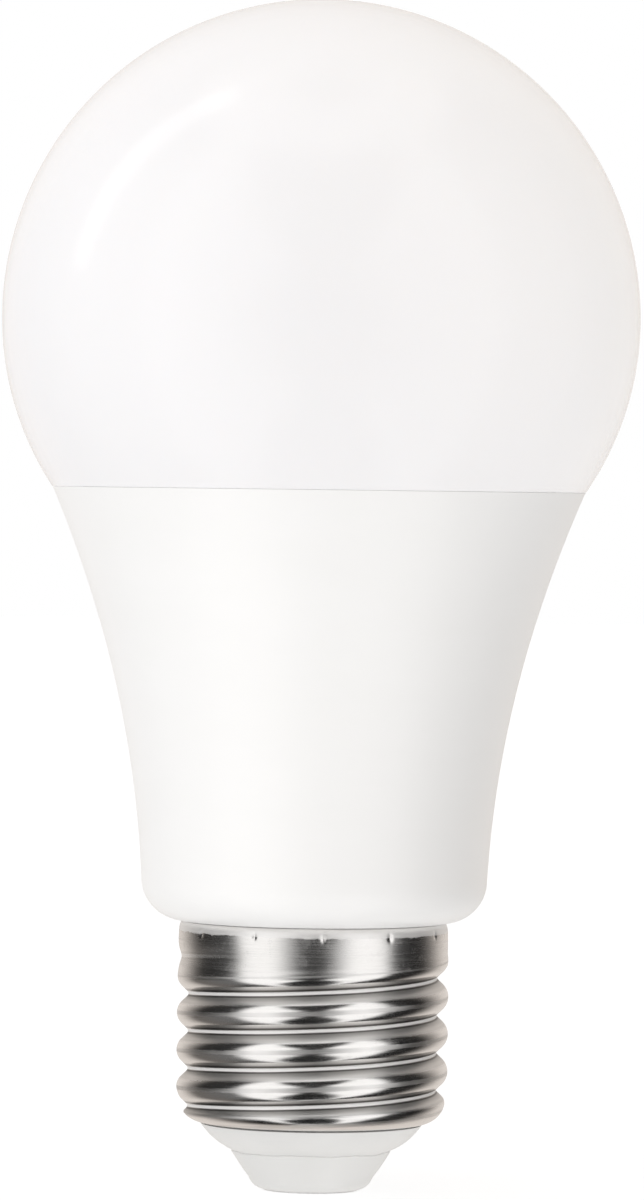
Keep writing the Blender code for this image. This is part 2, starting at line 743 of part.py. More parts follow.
opal = finish("opal_plastic", (0.93, 0.93, 0.94), 0.35, transmission=0.3)
shell_white = finish("housing_white", (0.92, 0.91, 0.90), 0.50)
silicone = finish("silicone", (0.80, 0.80, 0.78), 0.60)
aluminium = finish("aluminium", (0.80, 0.80, 0.81), 0.40, metallic=1.0)
pad_grey = finish("pad_grey", (0.45, 0.47, 0.50), 0.80)
solder_mask_white = finish("solder_mask_white", (0.88, 0.88, 0.86), 0.40)
solder_mask_blue = finish("solder_mask_blue", (0.03, 0.10, 0.30), 0.35)
solder_mask_green = finish("solder_mask_green", (0.04, 0.22, 0.09), 0.35)
zinc = finish("zinc", (0.72, 0.73, 0.75), 0.35, metallic=1.0)
warm_phosphor = finish("warm_phosphor", (0.92, 0.66, 0.20), 0.50)
cool_phosphor = finish("cool_phosphor", (0.93, 0.88, 0.38), 0.50)
rgb_package = finish("rgb_package", (0.85, 0.86, 0.88), 0.30)
tin = finish("tin", (0.75, 0.75, 0.76), 0.30, metallic=1.0)
black_plastic = finish("connector_black", (0.03, 0.03, 0.03), 0.45)
bobbin_black = finish("bobbin_black", (0.05, 0.05, 0.05), 0.50)
can_black = finish("capacitor_sleeve", (0.05, 0.06, 0.10), 0.35)
film_yellow = finish("film_yellow", (0.80, 0.60, 0.10), 0.40)
varistor_blue = finish("varistor_blue", (0.08, 0.22, 0.55), 0.40)
ferrite = finish("ferrite", (0.08, 0.08, 0.08), 0.60)
enamelled_copper = finish("enamelled_copper", (0.62, 0.26, 0.10), 0.30, metallic=0.9)
winding_tape = finish("winding_tape", (0.78, 0.62, 0.12), 0.35)
epoxy_black = finish("epoxy_black", (0.03, 0.03, 0.035), 0.50)
resistor_green = finish("resistor_green", (0.25, 0.42, 0.32), 0.50)
sleeve_black = finish("sleeve_black", (0.04, 0.04, 0.04), 0.55)
wire_red = finish("wire_red", (0.60, 0.04, 0.03), 0.40)
wire_blue = finish("wire_blue", (0.04, 0.12, 0.50), 0.40)
nickel = finish("nickel", (0.78, 0.75, 0.71), 0.22, metallic=1.0)
insulator_white = finish("insulator_white", (0.84, 0.83, 0.80), 0.40)
contact_metal = finish("contact_metal", (0.76, 0.74, 0.72), 0.30, metallic=1.0)

add_globe()
add_housing()
add_seal()
add_light_engine()
add_board_screws()
add_leds()
add_radio_module()
add_connector()
add_driver_board()
add_capacitors()
add_choke()
add_transformer()
add_chips()
add_fuse()
add_wires()
add_screw_shell()
add_insulator()
add_centre_contact()
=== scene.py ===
import json
import math

import bmesh
import bpy
from mathutils import Matrix, Vector, noise


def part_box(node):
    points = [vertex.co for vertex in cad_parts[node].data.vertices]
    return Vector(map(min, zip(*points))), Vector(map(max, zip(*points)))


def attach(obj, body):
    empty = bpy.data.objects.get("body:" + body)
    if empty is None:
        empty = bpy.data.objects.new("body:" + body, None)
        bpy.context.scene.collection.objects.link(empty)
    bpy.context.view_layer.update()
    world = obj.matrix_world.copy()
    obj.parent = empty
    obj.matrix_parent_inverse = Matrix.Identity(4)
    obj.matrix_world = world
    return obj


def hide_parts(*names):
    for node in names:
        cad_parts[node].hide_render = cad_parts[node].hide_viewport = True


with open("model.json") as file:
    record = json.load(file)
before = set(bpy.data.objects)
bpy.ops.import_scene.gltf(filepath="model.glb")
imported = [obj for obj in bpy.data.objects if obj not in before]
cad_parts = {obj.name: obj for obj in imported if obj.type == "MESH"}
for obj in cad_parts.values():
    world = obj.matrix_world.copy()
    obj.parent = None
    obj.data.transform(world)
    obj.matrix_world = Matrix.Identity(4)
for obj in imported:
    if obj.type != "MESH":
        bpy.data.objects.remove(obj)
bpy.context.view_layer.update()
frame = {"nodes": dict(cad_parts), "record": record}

# Lengths are in metres and angles in radians, unless a name says otherwise.
MM = 0.001
TURN_STEPS = 256
SHARP_ANGLE = math.radians(40)
AXIS_LIMIT = 1e-7

# Clearance between the pieces, as in the CAD.
GAP = 0.3 * MM

# Diffuser globe: a sphere above its widest ring, and slightly flattened below it.
GLOBE_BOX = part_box("diffuser_globe")
GLOBE_RADIUS = GLOBE_BOX[1].x
GLOBE_CENTRE_Z = GLOBE_BOX[1].z - GLOBE_RADIUS
GLOBE_LOWER_HEIGHT = 30.1 * MM
GLOBE_WALL = 1.3 * MM
GLOBE_EDGE_FILLET = 0.02 * MM
COLLAR_RADIUS = 22.85 * MM
COLLAR_WALL = 1.1 * MM
COLLAR_FOOT_Z = GLOBE_BOX[0].z

# Housing.
HOUSING_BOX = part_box("housing_shell")
SEAM_Z = HOUSING_BOX[1].z
SEAM_GAP = 0.01 * MM
FOOT_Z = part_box("screw_shell")[1].z + GAP
FOOT_FILLET = 4.0 * MM
FOOT_TOP_Z = FOOT_Z + FOOT_FILLET
FOOT_RADIUS = 16.76 * MM
HOUSING_SLOPE = 0.05
HOUSING_FLARE = 5.0
HOUSING_WALL = 1.3 * MM
RIM_FILLET = 0.05 * MM
RIM_LEAN = 24
COLLAR_BORE_RADIUS = COLLAR_RADIUS + 0.35 * MM
NECK_RADIUS = 12.35 * MM
NECK_WALL = 1.2 * MM
NECK_END_Z = HOUSING_BOX[0].z

# Screw shell: an Edison thread rolled into thin sheet, with a tapered lip above it and a rolled end below.
THREAD_PITCH = 25.4 / 7 * MM
CREST_RADIUS = 13.15 * MM
ROOT_RADIUS = 12.05 * MM
CREST_ARC = 1.50 * MM
ROOT_ARC = 0.30 * MM
BAND_RADIUS = 13.06 * MM
GROOVE_Z_ON_X = 17.08 * MM
RUN_OUT_TURN = 1.72
RUN_OUT_LENGTH = 0.60
SHEET = 0.35 * MM
SHELL_TOP_Z = FOOT_Z - 0.05 * MM
LIP_HEIGHT = 1.0 * MM
LIP_TAPER = 0.28 * MM
LIP_POWER = 2.2
ROLL_RADIUS = 2.35 * MM
ROLL_CENTRE = (10.6 * MM, 8.92 * MM)
ROLL_BLEND = 0.25 * MM
ROLL_OPENING = 0.3
CRIMP_COUNT = 12
CRIMP_COLUMNS = 22
CRIMP_TURN = math.radians(4.3)
CRIMP_Z = FOOT_Z - 0.95 * MM
CRIMP_DEPTH = 0.10 * MM
CRIMP_SPREAD = (0.13 * MM, 0.24 * MM)
DENT_DEPTH = 0.03 * MM
DENT_SPREAD = (0.9 * MM, 0.4 * MM)

# Insulator and contact. A centre is (distance from the axis, height).
SHOULDER_ARC = 6.6 * MM
SHOULDER_CENTRE = (5.2 * MM, 10.0 * MM)
STEP_FILLET = 0.10 * MM
STEP_CENTRE = (7.62 * MM, 3.78 * MM)
STEP_Z = 3.85 * MM
STEP_SPREAD = 0.35 * MM
STEP_WANDER = 0.12 * MM
NOSE_ARC = 1.5 * MM
NOSE_CENTRE = (4.55 * MM, 1.62 * MM)
NOSE_FACE_Z = 0.45 * MM
PLUG_RADIUS = 11.3 * MM
PLUG_NECK_RADIUS = 10.3 * MM
PLUG_TOP_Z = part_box("cap_insulator")[1].z
CONTACT_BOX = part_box("centre_contact")
CONTACT_RADIUS = CONTACT_BOX[1].x
CONTACT_TOP_Z = CONTACT_BOX[1].z
CONTACT_THICKNESS = 0.4 * MM
CONTACT_EDGE = 0.18 * MM
CONTACT_SHANK_RADIUS = 1.15 * MM

# Camera: where it stands, what it aims at, and the height that it takes in at the lamp's axis.
CAMERA_DISTANCE = 700 * MM
CAMERA_HEIGHT = 68 * MM
CAMERA_AIM = (0.41 * MM, 0.0, 57.2 * MM)
CAMERA_ROLL = math.radians(0.73)
PICTURE_HEIGHT = 116.28 * MM
SENSOR_MM = 36.0

FLOOR_RADIUS = 3.0
FLOOR_GLOW = 0.768

REPLACED_NODES = ("diffuser_globe", "housing_shell", "screw_shell", "cap_insulator", "centre_contact")


# ---------------------------------------------------------------- shapes

def arc(centre, radius, start, end, count):
    """Points on a circle in the (radius, height) plane, in degrees: 0 points outwards and 90 up."""
    points = []
    for i in range(count + 1):
        angle = math.radians(start + (end - start) * i / count)
        points.append((centre[0] + radius * math.cos(angle), centre[1] + radius * math.sin(angle)))
    return points


def even_steps(start, end, count):
    return [start + (end - start) * i / count for i in range(count + 1)]


def smooth_step(value):
    value = min(1.0, max(0.0, value))
    return value * value * (3.0 - 2.0 * value)


def smooth_minimum(a, b, blend):
    share = min(1.0, max(0.0, 0.5 + 0.5 * (b - a) / blend))
    return b + (a - b) * share - blend * share * (1.0 - share)


def join_rings(bm, ring, other):
    """Faces between two rings of vertices, either of which may be a single vertex on the axis."""
    if len(ring) == 1 and len(other) == 1:
        return
    count = max(len(ring), len(other))
    for i in range(count):
        after = (i + 1) % count
        corners = [ring[i % len(ring)], ring[after % len(ring)]]
        corners += [other[after % len(other)], other[i % len(other)]]
        bm.faces.new(list(dict.fromkeys(corners)))


def piece_of(name, bm):
    """A smooth-shaded object of this mesh, with its faces outwards and its real corners kept sharp."""
    bmesh.ops.recalc_face_normals(bm, faces=bm.faces)
    mesh = bpy.data.meshes.new(name)
    bm.to_mesh(mesh)
    bm.free()
    mesh.shade_smooth()
    mesh.set_sharp_from_angle(angle=SHARP_ANGLE)
    piece = bpy.data.objects.new(name, mesh)
    bpy.context.scene.collection.objects.link(piece)
    return piece


def turned(name, profile, warp=None):
    """A closed body turned about the lamp's axis. warp(radius, z, angle) may move each point of it."""
    bm = bmesh.new()
    rings = []
    for radius, z in profile:
        if radius < AXIS_LIMIT:
            rings.append([bm.verts.new((0.0, 0.0, z))])
            continue
        ring = []
        for i in range(TURN_STEPS):
            angle = 2 * math.pi * i / TURN_STEPS
            r, height = warp(radius, z, angle) if warp else (radius, z)
            ring.append(bm.verts.new((r * math.cos(angle), r * math.sin(angle), height)))
        rings.append(ring)
    for ring, other in zip(rings, rings[1:] + rings[:1]):
        join_rings(bm, ring, other)
    return piece_of(name, bm)


def globe_side(rim_z, inset, upper_count, lower_count):
    """Points from the top of the globe, past its widest ring, down to a height on its side."""
    radius = GLOBE_RADIUS - inset
    lower_height = GLOBE_LOWER_HEIGHT - inset
    points = arc((0.0, GLOBE_CENTRE_Z), radius, 90, 0, upper_count)
    points[0] = (0.0, GLOBE_CENTRE_Z + radius)
    end = math.asin((GLOBE_CENTRE_Z - rim_z) / lower_height)
    for angle in even_steps(0.0, end, lower_count)[1:]:
        points.append((radius * math.cos(angle), GLOBE_CENTRE_Z - lower_height * math.sin(angle)))
    return points


def make_globe():
    rim_z = SEAM_Z + SEAM_GAP
    outer = globe_side(rim_z + GLOBE_EDGE_FILLET, 0.0, 64, 24)
    edge = arc((outer[-1][0] - GLOBE_EDGE_FILLET, outer[-1][1]), GLOBE_EDGE_FILLET, -20, -90, 5)
    inner = globe_side(rim_z + GLOBE_WALL, GLOBE_WALL, 40, 14)
    collar_bore = COLLAR_RADIUS - COLLAR_WALL
    collar = [
        (COLLAR_RADIUS, rim_z),
        (COLLAR_RADIUS, COLLAR_FOOT_Z),
        (collar_bore, COLLAR_FOOT_Z),
        (collar_bore, rim_z),
    ]
    return turned("globe", outer + edge + collar + inner[::-1])


def housing_radius(z):
    rise = z - FOOT_TOP_Z
    return FOOT_RADIUS + HOUSING_SLOPE * rise + HOUSING_FLARE * rise**2


def housing_wall(start_z, end_z, inset, count):
    return [(housing_radius(z) - inset, z) for z in even_steps(start_z, end_z, count)]


def make_housing():
    rim_centre = (housing_radius(SEAM_Z) - RIM_FILLET, SEAM_Z - RIM_FILLET)
    rim = arc(rim_centre, RIM_FILLET, 90, -RIM_LEAN, 12)
    wall = housing_wall(rim[-1][1] - GAP, FOOT_TOP_Z, 0.0, 60)
    foot_centre = (FOOT_RADIUS - FOOT_FILLET, FOOT_TOP_Z)
    foot = arc(foot_centre, FOOT_FILLET, -4, -90, 24)
    neck = [
        (NECK_RADIUS, FOOT_Z),
        (NECK_RADIUS, NECK_END_Z),
        (NECK_RADIUS - NECK_WALL, NECK_END_Z),
        (NECK_RADIUS - NECK_WALL, FOOT_Z + HOUSING_WALL),
    ]
    inner_foot = arc(foot_centre, FOOT_FILLET - HOUSING_WALL, -90, 0, 8)
    bore_foot = COLLAR_FOOT_Z - GAP
    inner_wall = housing_wall(FOOT_TOP_Z, bore_foot, HOUSING_WALL, 30)[1:]
    bore = [(COLLAR_BORE_RADIUS, bore_foot), (COLLAR_BORE_RADIUS, SEAM_Z)]
    return turned("housing", rim + wall + foot + neck + inner_foot + inner_wall + bore)


def thread_radius(offset):
    """The sheet's outer radius at a distance along the axis from the middle of a groove."""
    run = THREAD_PITCH / 2
    crest_centre = CREST_RADIUS - CREST_ARC
    root_centre = ROOT_RADIUS + ROOT_ARC
    lean = math.atan2(root_centre - crest_centre, run)
    flank = lean + math.acos((CREST_ARC + ROOT_ARC) / math.hypot(run, root_centre - crest_centre))
    root_end = ROOT_ARC * math.cos(flank)
    crest_end = run - CREST_ARC * math.cos(flank)
    offset = abs(offset)
    if offset <= root_end:
        return root_centre - math.sqrt(ROOT_ARC**2 - offset**2)
    if offset >= crest_end:
        return crest_centre + math.sqrt(CREST_ARC**2 - (run - offset) ** 2)
    share = (offset - root_end) / (crest_end - root_end)
    low = root_centre - ROOT_ARC * math.sin(flank)
    high = crest_centre + CREST_ARC * math.sin(flank)
    return low + share * (high - low)


def groove_depth(turn):
    """The groove's depth as a share of the full depth, this many turns up the shell."""
    return smooth_step((RUN_OUT_TURN - turn) / RUN_OUT_LENGTH)


def threaded_wall(z, angle):
    """The threaded wall: one groove winds up it, right-handed, and runs out under the band."""
    turns = (z - GROOVE_Z_ON_X) / THREAD_PITCH - angle / (2 * math.pi)
    nearest = round(turns)
    off_groove = turns - nearest
    groove_turn = nearest + angle / (2 * math.pi)
    next_turn = groove_turn + math.copysign(1.0, off_groove)
    depth_share = groove_depth(groove_turn)
    depth_share += (groove_depth(next_turn) - depth_share) * smooth_step(4 * abs(off_groove) - 1) / 2
    threaded = thread_radius(off_groove * THREAD_PITCH)
    return BAND_RADIUS + depth_share * (threaded - BAND_RADIUS)


def crimp_angles():
    """Column angles round the shell, closest together at the crimps."""
    half_sector = math.pi / CRIMP_COUNT
    half_columns = CRIMP_COLUMNS // 2
    angles = []
    for crimp in range(CRIMP_COUNT):
        middle = CRIMP_TURN + 2 * half_sector * crimp
        for i in range(-half_columns, half_columns):
            share = i / half_columns
            angles.append(middle + half_sector * share * (0.35 + 0.65 * share**2))
    return angles


def crimp_depth(z, angle):
    """How far the nearest of the crimps that hold the sheet to the housing presses it in here."""
    sector = 2 * math.pi / CRIMP_COUNT
    turns = (angle - CRIMP_TURN) / sector
    across = (turns - round(turns)) * sector * BAND_RADIUS
    along = z - CRIMP_Z
    pit = math.exp(-((across / CRIMP_SPREAD[0]) ** 2 + (along / CRIMP_SPREAD[1]) ** 2) / 2)
    dent = math.exp(-((across / DENT_SPREAD[0]) ** 2 + (along / DENT_SPREAD[1]) ** 2) / 2)
    return CRIMP_DEPTH * pit + DENT_DEPTH * dent


def shell_rows():
    """(height, largest radius) of each ring of the sheet, from the band's top edge to the rolled end."""
    roll_radius, roll_z = ROLL_CENTRE
    crimped_end = CRIMP_Z - 1.4 * MM
    heights = even_steps(SHELL_TOP_Z, crimped_end, 30)
    heights += even_steps(crimped_end, roll_z, 150)[1:]
    rows = [(z, roll_radius + ROLL_RADIUS + ROLL_OPENING * (z - roll_z)) for z in heights]
    rows += [(z, radius) for radius, z in arc(ROLL_CENTRE, ROLL_RADIUS, 0, -90, 30)[1:]]
    return rows


def shell_point(z, limit, angle):
    radius = smooth_minimum(threaded_wall(z, angle), limit, ROLL_BLEND)
    lip_share = max(0.0, (z - SHELL_TOP_Z + LIP_HEIGHT) / LIP_HEIGHT)
    radius -= LIP_TAPER * lip_share**LIP_POWER + crimp_depth(z, angle)
    return Vector((radius * math.cos(angle), radius * math.sin(angle), z))


def make_screw_shell():
    angles = crimp_angles()
    bm = bmesh.new()
    rings = []
    for z, limit in shell_rows():
        rings.append([bm.verts.new(shell_point(z, limit, angle)) for angle in angles])
    for ring, other in zip(rings, rings[1:]):
        join_rings(bm, ring, other)
    shell = piece_of("screw_cap", bm)
    sheet = shell.modifiers.new("sheet", "SOLIDIFY")
    sheet.thickness = SHEET
    sheet.offset = -1.0
    return shell


def uneven_step(radius, z, angle):
    """The moulded step on the insulator wanders a little, as the real one does."""
    near = math.exp(-(((z - STEP_Z) / STEP_SPREAD) ** 2))
    wander = noise.noise(Vector((math.cos(angle) * 2.5, math.sin(angle) * 2.5, 0.0)))
    wander += 0.4 * noise.noise(Vector((math.cos(angle) * 9.0, math.sin(angle) * 9.0, 4.0)))
    return radius, z + near * wander * STEP_WANDER


def make_insulator():
    """A plug that fills the rolled end, with a shoulder and a nose under it, hollow for the live wire."""
    shoulder = arc(SHOULDER_CENTRE, SHOULDER_ARC, -32.8, -66.5, 24)
    shank_bore = CONTACT_SHANK_RADIUS + GAP
    plug = [
        (PLUG_RADIUS - 0.5 * MM, PLUG_TOP_Z),
        (PLUG_RADIUS, PLUG_TOP_Z - 0.4 * MM),
        (PLUG_RADIUS, 8.0 * MM),
        (PLUG_NECK_RADIUS, 7.3 * MM),
        (PLUG_NECK_RADIUS, 6.6 * MM),
    ]
    step = arc(STEP_CENTRE, STEP_FILLET, 60, -25, 5)
    cone = [(7.60 * MM, 3.55 * MM), (7.26 * MM, 3.0 * MM), (6.66 * MM, 2.1 * MM), (6.03 * MM, 1.25 * MM)]
    nose = arc(NOSE_CENTRE, NOSE_ARC, -25, -80, 14)
    ring = [(4.78 * MM, NOSE_FACE_Z)]
    hollow = [
        (shank_bore, NOSE_FACE_Z),
        (shank_bore, 2.8 * MM),
        (4.4 * MM, 3.2 * MM),
        (7.4 * MM, 6.0 * MM),
        (7.8 * MM, PLUG_TOP_Z),
    ]
    return turned("insulator", plug + shoulder + step + cone + nose + ring + hollow, uneven_step)


def make_contact():
    shank = [
        (0.0, CONTACT_TOP_Z),
        (CONTACT_SHANK_RADIUS - CONTACT_EDGE, CONTACT_TOP_Z),
        (CONTACT_SHANK_RADIUS, CONTACT_TOP_Z - CONTACT_EDGE),
        (CONTACT_SHANK_RADIUS, CONTACT_THICKNESS),
    ]
    rim_radius = CONTACT_RADIUS - CONTACT_EDGE
    rim_top = arc((rim_radius, CONTACT_THICKNESS - CONTACT_EDGE), CONTACT_EDGE, 90, 0, 6)
    rim_foot = arc((rim_radius, CONTACT_EDGE), CONTACT_EDGE, 0, -90, 6)
    face = [(radius * MM, 0.0) for radius in (4.2, 3.5, 2.6, 1.6)]
    dimple = [(0.9 * MM, 0.02 * MM), (0.5 * MM, 0.06 * MM), (0.0, 0.08 * MM)]
    return turned("contact", shank + rim_top + rim_foot + face + dimple)


# ---------------------------------------------------------------- materials

class Tree:
    """Adds nodes to a material or a world, and links them."""

    def __init__(self, owner):
        owner.use_nodes = True
        self.nodes = owner.node_tree.nodes
        self.links = owner.node_tree.links
        self.nodes.clear()

    def add(self, kind, inputs=None, **settings):
        node = self.nodes.new(kind)
        for name, value in settings.items():
            setattr(node, name, value)
        for socket, value in (inputs or {}).items():
            if isinstance(value, bpy.types.NodeSocket):
                self.links.new(value, node.inputs[socket])
            else:
                node.inputs[socket].default_value = value
        return node

    def surface(self, inputs):
        """Ends the material in a Principled shader with these inputs."""
        shader = self.add("ShaderNodeBsdfPrincipled", inputs)
        self.add("ShaderNodeOutputMaterial", {"Surface": shader.outputs[0]})

    def bump(self, height, distance):
        return self.add("ShaderNodeBump", {"Height": height, "Distance": distance}).outputs["Normal"]

    def height_of(self, vector):
        return self.add("ShaderNodeSeparateXYZ", {"Vector": vector}).outputs["Z"]

    def math(self, operation, a, b=0.0):
        return self.add("ShaderNodeMath", {0: a, 1: b}, operation=operation).outputs[0]

    def sum(self, first, *others):
        for other in others:
            first = self.math("ADD", first, other)
        return first

    def product(self, a, b):
        return self.math("MULTIPLY", a, b)

    def vector_math(self, operation, inputs):
        return self.add("ShaderNodeVectorMath", inputs, operation=operation).outputs[0]

    def ramp(self, value, start, end, low=0.0, high=1.0, smooth=False):
        """value mapped from start..end to low..high, and held there beyond them."""
        inputs = {"Value": value, "From Min": start, "From Max": end, "To Min": low, "To Max": high}
        kind = "SMOOTHSTEP" if smooth else "LINEAR"
        return self.add("ShaderNodeMapRange", inputs, interpolation_type=kind).outputs["Result"]

    def steps(self, value, stops):
        """value between 0 and 1 turned into a number that runs straight from stop to stop."""
        node = self.add("ShaderNodeValToRGB", {"Fac": value})
        elements = node.color_ramp.elements
        while len(elements) < len(stops):
            elements.new(0.5)
        for element, (position, number) in zip(elements, stops):
            element.position = position
            element.color = (number, number, number, 1.0)
        return node.outputs["Color"]

    def noise(self, vector, scale, detail=3.0, roughness=0.55):
        inputs = {"Vector": vector, "Scale": scale, "Detail": detail, "Roughness": roughness}
        return self.add("ShaderNodeTexNoise", inputs).outputs["Fac"]

    def mix(self, share, a, b):
        """Colour a where share is 0, and colour b where it is 1."""
        node = self.add("ShaderNodeMix", {"Factor": share}, data_type="RGBA")
        colours = [socket for socket in node.inputs if socket.type == "RGBA"]
        for socket, value in zip(colours, (a, b)):
            if isinstance(value, bpy.types.NodeSocket):
                self.links.new(value, socket)
            else:
                socket.default_value = (*value, 1.0)
        return next(socket for socket in node.outputs if socket.type == "RGBA")


def place_of(tree):
    """A point's place in the lamp's frame."""
    return tree.add("ShaderNodeTexCoord").outputs["Object"]


def stretched(tree, vector, stretch):
    return tree.add("ShaderNodeMapping", {"Vector": vector, "Scale": stretch}).outputs["Vector"]


def around_axis(tree, vector, along, across):
    """Coordinates that run round the lamp's axis without a seam: fast along the axis and slow round it."""
    flat = tree.vector_math("MULTIPLY", {0: vector, 1: (1.0, 1.0, 0.0)})
    round_it = tree.vector_math("NORMALIZE", {0: flat})
    slow = tree.vector_math("SCALE", {0: round_it, "Scale": across})
    up = tree.vector_math("MULTIPLY", {0: vector, 1: (0.0, 0.0, along)})
    return tree.vector_math("ADD", {0: slow, 1: up})


def finish(name, colour, tint, rough, grain, patch=90.0, stretch=(1.0, 1.0, 1.0), **principled):
    """A mottled, finely grained surface.

    It goes from colour to tint in patches. rough is (lowest, highest) roughness. grain is (scale, height).
    """
    material = bpy.data.materials.new(name)
    tree = Tree(material)
    place = stretched(tree, place_of(tree), stretch)
    mottle = tree.noise(place, patch)
    fine = tree.noise(place, grain[0], detail=2.0)
    shade = tree.ramp(mottle, 0.3, 0.7)
    inputs = {
        "Base Color": tree.mix(shade, colour, tint),
        "Roughness": tree.ramp(fine, 0.3, 0.7, *rough),
        "Normal": tree.bump(fine, grain[1]),
    }
    inputs.update(principled)
    tree.surface(inputs)
    return material


def opal_material():
    return finish(
        "opal",
        (0.903, 0.894, 0.905),
        (0.893, 0.884, 0.894),
        rough=(0.10, 0.14),
        grain=(1800.0, 1.2e-6),
        patch=40.0,
        **{
            "Subsurface Weight": 0.25,
            "Subsurface Radius": (1.0, 0.95, 0.9),
            "Subsurface Scale": 0.0004,
            "Specular IOR Level": 0.2,
        },
    )


def housing_material():
    return finish(
        "housing_white",
        (0.936, 0.931, 0.926),
        (0.926, 0.921, 0.914),
        rough=(0.30, 0.38),
        grain=(4200.0, 1.6e-6),
        patch=70.0,
        stretch=(1.0, 1.0, 3.0),
        **{"Specular IOR Level": 0.38},
    )


def insulator_material():
    colour, tint = (0.74, 0.736, 0.722), (0.765, 0.76, 0.747)
    return finish("insulator", colour, tint, rough=(0.35, 0.45), grain=(2500.0, 2e-6), patch=220.0)


def solder_material():
    """Dull solder over the contact, uneven where it has flowed."""
    colour, tint = (0.86, 0.855, 0.85), (0.78, 0.775, 0.77)
    grain = (1400.0, 12e-6)
    return finish("solder", colour, tint, rough=(0.38, 0.55), grain=grain, patch=500.0, Metallic=0.45)


def groove_place(tree, place):
    """(how far up the thread's pitch this point lies, the depth of its groove), both from 0 to 1.

    The middle of a groove is at 0.5, and the crests are at 0 and 1.
    """
    parts = tree.add("ShaderNodeSeparateXYZ", {"Vector": place}).outputs
    angle = tree.math("ARCTAN2", parts["Y"], parts["X"])
    round_share = tree.math("FRACT", tree.product(angle, 0.5 / math.pi))
    height = tree.math("DIVIDE", tree.math("SUBTRACT", parts["Z"], GROOVE_Z_ON_X), THREAD_PITCH)
    turns = tree.math("SUBTRACT", height, round_share)
    nearest = tree.math("ROUND", turns)
    across = tree.math("ADD", tree.math("SUBTRACT", turns, nearest), 0.5)
    groove_turn = tree.math("ADD", nearest, round_share)
    depth = tree.ramp(groove_turn, RUN_OUT_TURN - RUN_OUT_LENGTH, RUN_OUT_TURN, 1.0, 0.0, smooth=True)
    return across, depth


# The thread is bright on its crests, but for a worn line along each, and duller in its grooves, with dirt and
# painted shade at the foot of each flank and a painted highlight along the root. Each stop is (place across
# the pitch, number).
GROOVE_DULLNESS = ((0.0, 0.0), (0.20, 0.0), (0.28, 1.0), (0.555, 1.0), (0.575, 0.2), (0.66, 0.0), (1.0, 0.0))
# Dirt and painted shade: the colour darkens at the foot of each flank.
GROOVE_DIRT_AND_SHADE = (
    (0.0, 0.0),
    (0.32, 0.0),
    (0.42, 0.35),
    (0.448, 0.85),
    (0.465, 0.8),
    (0.485, 0.0),
    (0.57, 0.0),
    (0.595, 0.8),
    (0.615, 0.8),
    (0.66, 0.0),
    (1.0, 0.0),
)
CREST_WEAR = ((0.0, 1.0), (0.04, 1.0), (0.075, 0.0), (0.925, 0.0), (0.96, 1.0), (1.0, 1.0))
# The painted highlight: a pale line along the root, where the metal also turns partly diffuse.
GROOVE_PAINTED_HIGHLIGHT = ((0.0, 0.0), (0.48, 0.0), (0.495, 0.75), (0.562, 0.75), (0.577, 0.0), (1.0, 0.0))

NICKEL_COLOURS = ((0.80, 0.782, 0.765), (0.775, 0.757, 0.737))
# The colour of the painted highlight on the root and the lip.
PAINTED_HIGHLIGHT_COLOUR = (0.98, 0.97, 0.96)
# The dark colour of the dirt and painted shade in the grooves.
DIRT_AND_SHADE_COLOUR = (0.05, 0.045, 0.04)
TURNING_LINES_PER_METRE = 9000.0
TURNING_LINE_HEIGHT = 1.1e-6
NICKEL_WAVE_HEIGHT = 8e-6

# Roughness of the clean plate, and what is added to it in each place.
NICKEL_ROUGH = (0.13, 0.22)
WEAR_ROUGH = 0.06
GROOVE_ROUGH = 0.26
LIP_ROUGH = 0.14
BAND_ROUGH = 0.07
CREST_ROUGH = 0.24
# How far the lip is painted pale: a painted highlight.
LIP_PAINTED_HIGHLIGHT = 0.45
LIP_EDGE_WANDER = 0.08 * MM
LIP_EDGE_SOFT = 0.12 * MM


